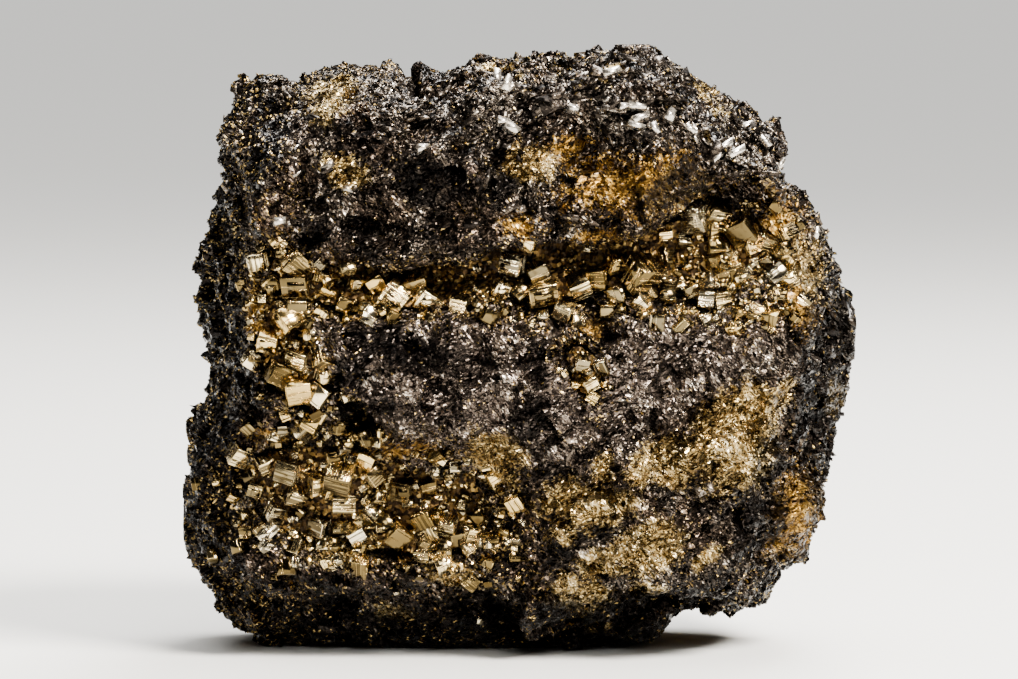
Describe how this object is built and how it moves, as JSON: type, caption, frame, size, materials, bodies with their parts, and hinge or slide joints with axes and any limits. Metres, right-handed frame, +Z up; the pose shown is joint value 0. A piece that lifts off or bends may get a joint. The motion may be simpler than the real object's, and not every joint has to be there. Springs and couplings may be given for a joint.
{
  "type": "pyrite pseudomorph",
  "caption": "Mineral specimen: a dark, blocky lump of massive sulphide ore turned to pyrite, its seam and pockets lined by brassy pyrite cubes.",
  "frame": {"origin": "on the resting plane, under the middle of the stone's bounding box", "axes": "+X to the right as seen from the front, +Y to the back, +Z up; the face with the crystal seam looks along -Y"},
  "size_m": [0.1198, 0.0844, 0.1082],
  "materials": {
    "ore": "rough broken surface of fine dark metallic grains, with pinkish grey, brassy and rusty brown patches",
    "pyrite": null
  },
  "bodies": {
    "root": {"stone": "ore", "seam_crystals": "pyrite", "lower_pocket_crystals": "pyrite", "small_pocket_crystals": "pyrite"}
  },
  "joints": []
}
